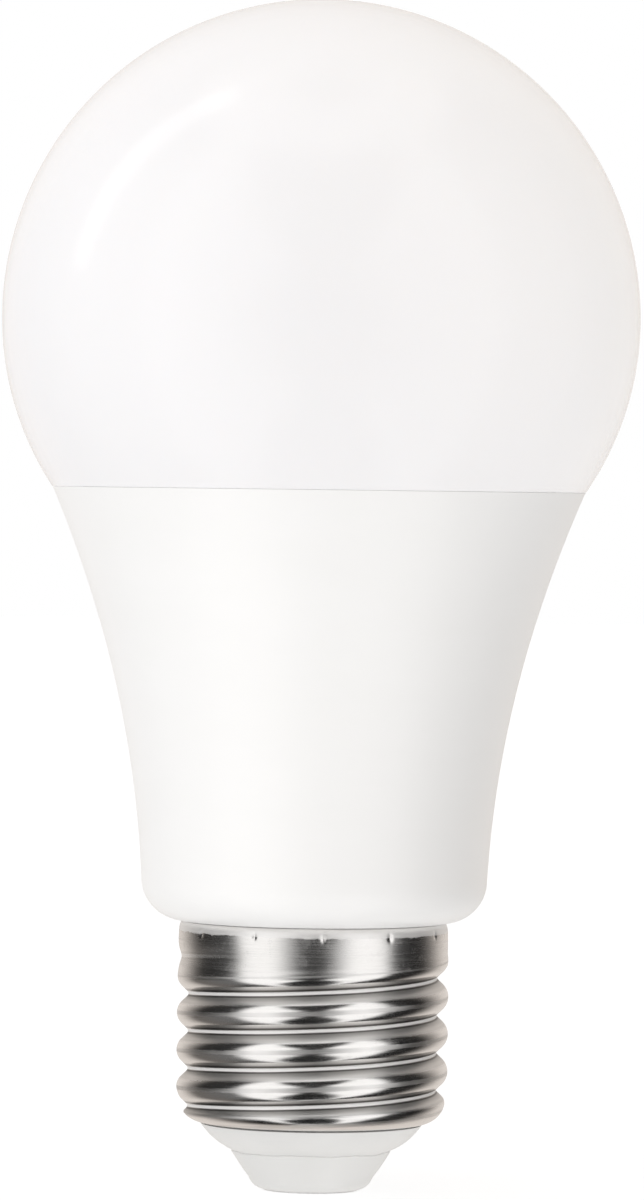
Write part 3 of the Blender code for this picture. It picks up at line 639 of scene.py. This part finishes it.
def nickel_material():
    """Nickel plate with fine turning lines, dull along its crimped lip, its crests and its grooves, with
    painted highlights on the lip and along the root.
    """
    material = bpy.data.materials.new("nickel")
    tree = Tree(material)
    place = place_of(tree)
    lines_place = around_axis(tree, place, TURNING_LINES_PER_METRE, 1.6)
    lines = tree.noise(lines_place, 1.0, detail=4.0, roughness=0.7)
    cloud = tree.noise(place, 260.0)
    wear = tree.noise(place, 900.0, detail=4.0)
    across, depth = groove_place(tree, place)
    dull_groove = tree.product(depth, tree.steps(across, GROOVE_DULLNESS))
    dirt_and_shade = tree.product(depth, tree.steps(across, GROOVE_DIRT_AND_SHADE))
    worn = tree.product(depth, tree.steps(across, CREST_WEAR))
    worn = tree.product(worn, tree.ramp(cloud, 0.35, 0.65, 0.6, 1.0))
    edge = tree.sum(tree.height_of(place), tree.ramp(wear, 0.3, 0.7, -LIP_EDGE_WANDER, LIP_EDGE_WANDER))
    lip = tree.ramp(edge, FOOT_Z - LIP_HEIGHT, FOOT_Z - LIP_HEIGHT + LIP_EDGE_SOFT)
    band = tree.math("SUBTRACT", 1.0, depth)
    roughness = tree.sum(
        tree.ramp(lines, 0.35, 0.65, *NICKEL_ROUGH),
        tree.ramp(wear, 0.55, 0.75, 0.0, WEAR_ROUGH),
        tree.product(dull_groove, GROOVE_ROUGH),
        tree.product(lip, LIP_ROUGH),
        tree.product(band, BAND_ROUGH),
        tree.product(worn, CREST_ROUGH),
    )
    # Painted highlight: along the root and over the lip the colour goes towards white and the metal turns
    # partly diffuse.
    painted_highlight = tree.sum(tree.product(depth, tree.steps(across, GROOVE_PAINTED_HIGHLIGHT)), tree.product(lip, LIP_PAINTED_HIGHLIGHT))
    clean = tree.mix(tree.ramp(cloud, 0.3, 0.7), *NICKEL_COLOURS)
    clean = tree.mix(painted_highlight, clean, PAINTED_HIGHLIGHT_COLOUR)
    relief = tree.sum(tree.product(lines, TURNING_LINE_HEIGHT), tree.product(cloud, NICKEL_WAVE_HEIGHT))
    inputs = {
        # The grooves' dirt and painted shade darken the plate's colour here.
        "Base Color": tree.mix(dirt_and_shade, clean, DIRT_AND_SHADE_COLOUR),
        "Metallic": tree.math("SUBTRACT", 1.0, painted_highlight),
        "Roughness": roughness,
        "Normal": tree.bump(relief, 1.0),
    }
    tree.surface(inputs)
    return material


# ---------------------------------------------------------------- materials of the pieces inside

# Slot: (lowest roughness, highest roughness), (grain scale, grain height).
INNER_PLASTICS = {
    "silicone": ((0.50, 0.60), (1500.0, 3e-6)),
    "thermal_pad": ((0.70, 0.85), (2500.0, 8e-6)),
    "connector": ((0.35, 0.50), (3000.0, 2e-6)),
    "bobbin": ((0.40, 0.55), (2500.0, 2e-6)),
    "film_capacitor": ((0.22, 0.32), (900.0, 4e-6)),
    "varistor": ((0.25, 0.40), (700.0, 10e-6)),
    "ferrite": ((0.70, 0.85), (5000.0, 6e-6)),
    "winding_tape": ((0.22, 0.35), (500.0, 12e-6)),
    "epoxy": ((0.50, 0.65), (6000.0, 3e-6)),
    "resistor": ((0.40, 0.50), (1500.0, 6e-6)),
    "sleeve": ((0.35, 0.50), (1200.0, 5e-6)),
    "live_wire": ((0.30, 0.42), (1600.0, 3e-6)),
    "neutral_wire": ((0.30, 0.42), (1600.0, 3e-6)),
}
# The same, then how many times finer the grain is along each axis.
INNER_METALS = {
    "aluminium": ((0.24, 0.38), (1200.0, 3e-6), (1.0, 1.0, 0.08)),
    "screw": ((0.22, 0.34), (4000.0, 1.5e-6), (1.0, 1.0, 1.0)),
    "shield": ((0.20, 0.32), (2500.0, 1e-6), (0.1, 1.0, 1.0)),
}
# Slot: whether the board stands upright.
INNER_BOARDS = {"led_board": False, "radio_board": True, "driver_board": True}
PHOSPHORS = ("warm_phosphor", "cool_phosphor")


def shaded(colour, factor):
    return tuple(min(1.0, channel * factor) for channel in colour)


TRACK_SCALE = 420.0
TRACK_HEIGHT = 25e-6
MASK_GRAIN = (3000.0, 3e-6)


def board_material(slot, colour, upright):
    """Solder mask with copper tracks under it. An upright board stands in the XZ plane."""
    material = bpy.data.materials.new(slot)
    tree = Tree(material)
    place = place_of(tree)
    if upright:
        turn = {"Vector": place, "Rotation": (math.pi / 2, 0.0, 0.0)}
        place = tree.add("ShaderNodeMapping", turn).outputs["Vector"]
    bricks = {
        "Vector": place,
        "Scale": TRACK_SCALE,
        "Mortar Size": 0.06,
        "Mortar Smooth": 0.2,
        "Brick Width": 1.4,
    }
    tracks = tree.add("ShaderNodeTexBrick", bricks).outputs["Fac"]
    grain_scale, grain_height = MASK_GRAIN
    fine = tree.noise(place, grain_scale)
    relief = tree.sum(tree.product(tracks, TRACK_HEIGHT), tree.product(fine, grain_height))
    inputs = {
        "Base Color": tree.mix(tracks, colour, shaded(colour, 1.6 if upright else 0.9)),
        "Roughness": tree.ramp(fine, 0.3, 0.7, 0.25, 0.38),
        "Normal": tree.bump(relief, 1.0),
    }
    tree.surface(inputs)
    return material


def facing_up(tree):
    """1 on the flat top of a piece, and 0 elsewhere."""
    normal = tree.add("ShaderNodeTexCoord").outputs["Normal"]
    return tree.ramp(tree.height_of(normal), 0.90, 0.95)


def centre_distance(tree):
    """How far this point is from its piece's middle, seen from above, as a share of the piece's width."""
    place = tree.add("ShaderNodeTexCoord").outputs["Generated"]
    moved = tree.vector_math("ADD", {0: place, 1: (-0.5, -0.5, 0.0)})
    flat = tree.vector_math("MULTIPLY", {0: moved, 1: (1.0, 1.0, 0.0)})
    return tree.add("ShaderNodeVectorMath", {0: flat}, operation="LENGTH").outputs["Value"]


def led_material(slot, colour):
    """A white package with a round window of phosphor on top."""
    material = bpy.data.materials.new(slot)
    tree = Tree(material)
    grains = tree.noise(place_of(tree), 9000.0, detail=4.0)
    inside = tree.ramp(centre_distance(tree), 0.29, 0.31, 1.0, 0.0)
    window_share = tree.product(facing_up(tree), inside)
    phosphor = tree.mix(grains, colour, shaded(colour, 0.8))
    package = tree.mix(grains, (0.86, 0.86, 0.84), (0.80, 0.80, 0.78))
    inputs = {
        "Base Color": tree.mix(window_share, package, phosphor),
        "Roughness": tree.ramp(window_share, 0.0, 1.0, 0.5, 0.18),
        "Normal": tree.bump(grains, 6e-6),
    }
    tree.surface(inputs)
    return material


def capacitor_material(slot, colour):
    """A dark shrink sleeve with a pale stripe down it, round a can with a bare top."""
    material = bpy.data.materials.new(slot)
    tree = Tree(material)
    place = place_of(tree)
    fine = tree.noise(place, 1500.0)
    across = tree.add("ShaderNodeTexCoord").outputs["Generated"]
    across = tree.add("ShaderNodeSeparateXYZ", {"Vector": across}).outputs["Y"]
    stripe = tree.ramp(across, 0.90, 0.92)
    inside = tree.ramp(centre_distance(tree), 0.40, 0.42, 1.0, 0.0)
    bare = tree.product(facing_up(tree), inside)
    sleeve = tree.mix(stripe, colour, (0.55, 0.56, 0.60))
    inputs = {
        "Base Color": tree.mix(bare, sleeve, (0.78, 0.78, 0.79)),
        "Metallic": bare,
        "Roughness": tree.ramp(fine, 0.3, 0.7, 0.26, 0.38),
        "Normal": tree.bump(fine, 5e-6),
    }
    tree.surface(inputs)
    return material


COPPER_TURN_PITCH = 0.36 * MM


def copper_material(slot, colour):
    """Turns of enamelled wire, one above the other, with painted shade in the creases between them."""
    material = bpy.data.materials.new(slot)
    tree = Tree(material)
    place = place_of(tree)
    turns = tree.math("SINE", tree.product(tree.height_of(place), 2 * math.pi / COPPER_TURN_PITCH))
    crown = tree.ramp(turns, -1.0, 1.0)
    enamel = tree.noise(place, 700.0)
    lacquer = tree.mix(enamel, colour, shaded(colour, 1.25))
    inputs = {
        # Between the turns the colour is darkened: painted shade in the creases.
        "Base Color": tree.mix(crown, shaded(colour, 0.35), lacquer),
        "Metallic": 0.85,
        "Roughness": tree.ramp(enamel, 0.3, 0.7, 0.24, 0.34),
        "Normal": tree.bump(crown, 60e-6),
    }
    tree.surface(inputs)
    return material


def inner_material(slot, colour):
    if slot in INNER_PLASTICS:
        rough, grain = INNER_PLASTICS[slot]
        return finish(slot, colour, shaded(colour, 0.82), rough, grain, patch=300.0)
    if slot in INNER_METALS:
        rough, grain, stretch = INNER_METALS[slot]
        return finish(slot, colour, shaded(colour, 0.9), rough, grain, 200.0, stretch, Metallic=1.0)
    if slot in INNER_BOARDS:
        return board_material(slot, colour, INNER_BOARDS[slot])
    if slot in PHOSPHORS or slot == "rgb_package":
        return led_material(slot, colour)
    if slot == "capacitor":
        return capacitor_material(slot, colour)
    if slot == "copper":
        return copper_material(slot, colour)
    raise ValueError("no material for slot " + slot)


def dress_inner_nodes():
    """Gives every CAD node that stays in place the material of its slot."""
    colours = {entry["slot"]: entry["base_color"] for entry in frame["record"]["materials"]}
    made = {}
    for name in sorted(frame["nodes"]):
        if name in REPLACED_NODES:
            continue
        node = frame["nodes"][name]
        slot = node.data.materials[0].name
        if slot not in made:
            made[slot] = inner_material(slot, colours[slot])
        node.data.materials[0] = made[slot]


# ---------------------------------------------------------------- light, floor and camera

def window(tree, value, low, high, soft):
    """1 between low and high, falling to 0 over the soft edge on each side."""
    rise = tree.ramp(value, low - soft, low + soft, smooth=True)
    fall = tree.ramp(value, high - soft, high + soft, 1.0, 0.0, smooth=True)
    return tree.product(rise, fall)


def fan_share(tree, azimuth, elevation):
    """1 inside a tall lamp on either side that narrows towards the camera, falling to 0 at its soft edges."""
    sideways = tree.math("ABSOLUTE", tree.math("SUBTRACT", azimuth, LAMP_MIDDLE))
    upwards = tree.math("ABSOLUTE", tree.math("SUBTRACT", elevation, LAMP_HEIGHT))
    bulge, bulge_soft, bulge_reach = LAMP_BULGE
    reach = tree.product(window(tree, upwards, *bulge, bulge_soft), bulge_reach)
    inner = tree.ramp(tree.math("ADD", sideways, reach), *LAMP_INNER_EDGE, smooth=True)
    outer = tree.ramp(sideways, *LAMP_OUTER_EDGE, 1.0, 0.0, smooth=True)
    across = tree.product(inner, outer)
    slant = tree.math("SUBTRACT", upwards, tree.product(sideways, LAMP_SLANT))
    up = tree.ramp(slant, LAMP_FOOT - LAMP_END_SOFT, LAMP_FOOT + LAMP_END_SOFT, 1.0, 0.0, smooth=True)
    return tree.product(across, up)


def in_front(tree, level, share, brightness):
    return tree.add("ShaderNodeMix", {"Factor": share, "A": level, "B": brightness}).outputs["Result"]


def studio_level(tree, azimuth, elevation, base, cards):
    """The brightness seen in each direction, in degrees: a base, then cards in front of it.

    A card is (azimuth range, its soft edge, elevation range, its soft edge, brightness).
    Azimuth 0 is towards the camera, and grows to its right.
    """
    level = base
    for sideways, side_soft, upwards, up_soft, brightness in cards:
        across = window(tree, azimuth, *sideways, side_soft)
        up = window(tree, elevation, *upwards, up_soft)
        level = in_front(tree, level, tree.product(across, up), brightness)
    return level


# Angles here are in degrees. A card is as studio_level takes it.

# What gloss and metal reflect: dark flags round the lamp, a pale ring over it, and its end.
REFLECTED_BASE = 0.78
REFLECTED_CARDS = (
    ((-132, 127), 24, (-100, 60), 5, 0.02),
    ((-125, -66), 10, (-58, -10), 8, 0.16),
    ((-130, 130), 20, (60, 78), 4, 1.2),
    ((-200, 200), 1, (83, 100), 5, 0.20),
    ((-200, 200), 1, (-100, -84), 5, 0.75),
)

# The tall soft box on each side of the camera, which only reflections see. Its inner and outer edges run from
# nothing to full over these angles from LAMP_MIDDLE. At the camera it reaches LAMP_FOOT either way from
# LAMP_HEIGHT, and LAMP_SLANT degrees further for each degree sideways. The bulge, towards the camera, is
# ((from, to) either way from LAMP_HEIGHT, soft edge, reach).
LAMP_MIDDLE = 0.5
LAMP_HEIGHT = -5
LAMP_INNER_EDGE = (8, 37)
LAMP_OUTER_EDGE = (60, 75)
LAMP_SLANT = 1.12
LAMP_FOOT = 12
LAMP_END_SOFT = 8
LAMP_BULGE = ((17, 36), 9, 13)
LAMP_BRIGHTNESS = 1.23

# What lights everything else: white all round, weaker on the right.
DIFFUSE_BASE = 1.17
DIFFUSE_CARDS = (
    ((-200, -70), 20, (-90, 66), 12, 0.93),
    ((43, 142), 16, (-80, 66), 12, 0.0),
    ((150, 230), 14, (-90, 66), 12, 0.86),
    ((-230, -150), 14, (-90, 66), 12, 0.86),
    ((-200, 200), 1, (64, 100), 16, 1.09),
)

# Warm tints: of what is reflected from beside and behind the lamp, and of the light from its right.
WARM_REFLECTION = (1.02, 0.95, 0.89)
WARM_REFLECTION_EDGE = (80, 120)
WARM_LIGHT = (1.02, 0.96, 0.89)
WARM_LIGHT_EDGE = (-20, 70)


def light_studio():
    world = bpy.data.worlds.new("studio")
    bpy.context.scene.world = world
    tree = Tree(world)
    direction = tree.add("ShaderNodeTexCoord").outputs["Generated"]
    parts = tree.add("ShaderNodeSeparateXYZ", {"Vector": direction}).outputs
    towards_camera = tree.product(parts["Y"], -1.0)
    azimuth = tree.math("DEGREES", tree.math("ARCTAN2", parts["X"], towards_camera))
    elevation = tree.math("DEGREES", tree.math("ARCSINE", parts["Z"]))
    reflected = studio_level(tree, azimuth, elevation, REFLECTED_BASE, REFLECTED_CARDS)
    reflected = in_front(tree, reflected, fan_share(tree, azimuth, elevation), LAMP_BRIGHTNESS)
    diffuse = studio_level(tree, azimuth, elevation, DIFFUSE_BASE, DIFFUSE_CARDS)
    path = tree.add("ShaderNodeLightPath").outputs
    inputs = {"Factor": path["Is Glossy Ray"], "A": diffuse, "B": reflected}
    level = tree.add("ShaderNodeMix", inputs).outputs["Result"]
    inputs = {"Factor": path["Is Camera Ray"], "A": level, "B": 1.0}
    level = tree.add("ShaderNodeMix", inputs).outputs["Result"]
    either_side = tree.math("ABSOLUTE", azimuth)
    white = (1.0, 1.0, 1.0)
    seen = tree.mix(tree.ramp(either_side, *WARM_REFLECTION_EDGE, smooth=True), white, WARM_REFLECTION)
    lit = tree.mix(tree.ramp(azimuth, *WARM_LIGHT_EDGE, smooth=True), white, WARM_LIGHT)
    colour = tree.mix(path["Is Camera Ray"], tree.mix(path["Is Glossy Ray"], lit, seen), white)
    background = tree.add("ShaderNodeBackground", {"Color": colour, "Strength": level})
    tree.add("ShaderNodeOutputWorld", {"Surface": background.outputs[0]})


# Soft boxes that light single pieces: (azimuth, elevation), distance in metres, (width, height), radiance.
GLOBE_FILL = ((90, 26), 0.75, (0.6, 0.6), 1.9)
GLOBE_STRIP = ((-97, 40), 0.6, (0.10, 0.66), 1.7)
HOUSING_EDGE = ((132, 42), 0.9, (0.3, 0.4), 6.0)
INSULATOR_EDGE = ((72, -2), 0.6, (0.4, 0.1), 5.5)
GLOBE_FILL_COLOUR = (1.0, 0.98, 0.93)
HOUSING_EDGE_COLOUR = (1.0, 0.88, 0.78)


def add_lamp(name, piece, direction, distance, size, radiance):
    """A soft box that lights one piece, and faces the globe's centre from this direction."""
    turn, rise = [math.radians(angle) for angle in direction]
    outwards = Vector((math.sin(turn) * math.cos(rise), -math.cos(turn) * math.cos(rise), math.sin(rise)))
    data = bpy.data.lights.new(name, "AREA")
    data.shape = "RECTANGLE"
    data.size, data.size_y = size
    data.energy = radiance * math.pi * size[0] * size[1]
    lamp = bpy.data.objects.new(name, data)
    bpy.context.scene.collection.objects.link(lamp)
    lamp.location = Vector((0.0, 0.0, GLOBE_CENTRE_Z)) + distance * outwards
    lamp.rotation_euler = outwards.to_track_quat("Z", "Y").to_euler()
    lamp.visible_camera = False
    receivers = bpy.data.collections.new("lit_by_" + name)
    receivers.objects.link(piece)
    lamp.light_linking.receiver_collection = receivers
    return lamp


def light_pieces(globe, housing, insulator):
    """The opal globe spreads light inside itself, so its far side is lit, and a strip makes its highlight.

    A lamp behind the housing lightens its right edge, and a low one the right side of the insulator.
    """
    fill = add_lamp("globe_fill", globe, *GLOBE_FILL)
    fill.visible_glossy = False
    fill.data.color = GLOBE_FILL_COLOUR
    edge = add_lamp("housing_edge", housing, *HOUSING_EDGE)
    edge.visible_glossy = False
    edge.data.color = HOUSING_EDGE_COLOUR
    low = add_lamp("insulator_edge", insulator, *INSULATOR_EDGE)
    low.visible_glossy = False
    strip = add_lamp("globe_strip", globe, *GLOBE_STRIP)
    strip.data.diffuse_factor = 0.0


def add_floor():
    bm = bmesh.new()
    bmesh.ops.create_circle(bm, cap_ends=True, radius=FLOOR_RADIUS, segments=96)
    floor = piece_of("floor", bm)
    material = bpy.data.materials.new("floor_paper")
    tree = Tree(material)
    paper = tree.noise(place_of(tree), 400.0)
    inputs = {
        "Base Color": tree.mix(paper, (0.29, 0.29, 0.29), (0.31, 0.31, 0.31)),
        "Roughness": 0.9,
        "Emission Color": (1.0, 1.0, 1.0, 1.0),
        "Emission Strength": FLOOR_GLOW,
    }
    tree.surface(inputs)
    floor.data.materials.append(material)
    floor.visible_glossy = False


def add_camera():
    data = bpy.data.cameras.new("camera")
    data.lens = SENSOR_MM * CAMERA_DISTANCE / PICTURE_HEIGHT
    data.sensor_width = SENSOR_MM
    data.clip_start = 0.01
    data.clip_end = 20.0
    camera = bpy.data.objects.new("camera", data)
    bpy.context.scene.collection.objects.link(camera)
    aim = Vector(CAMERA_AIM)
    place = Vector((aim.x, -CAMERA_DISTANCE, CAMERA_HEIGHT))
    turn = (aim - place).to_track_quat("-Z", "Y").to_matrix().to_4x4()
    camera.matrix_world = Matrix.Translation(place) @ turn @ Matrix.Rotation(CAMERA_ROLL, 4, "Z")
    bpy.context.scene.camera = camera


# ---------------------------------------------------------------- the lamp

def add_piece(piece, node, material):
    piece.data.materials.append(material)
    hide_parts(node)
    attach(piece, "root")


add_camera()
light_studio()
add_floor()

globe = make_globe()
add_piece(globe, "diffuser_globe", opal_material())
housing = make_housing()
add_piece(housing, "housing_shell", housing_material())
add_piece(make_screw_shell(), "screw_shell", nickel_material())
insulator = make_insulator()
add_piece(insulator, "cap_insulator", insulator_material())
add_piece(make_contact(), "centre_contact", solder_material())
light_pieces(globe, housing, insulator)

dress_inner_nodes()

bpy.context.scene.view_settings.view_transform = "Standard"
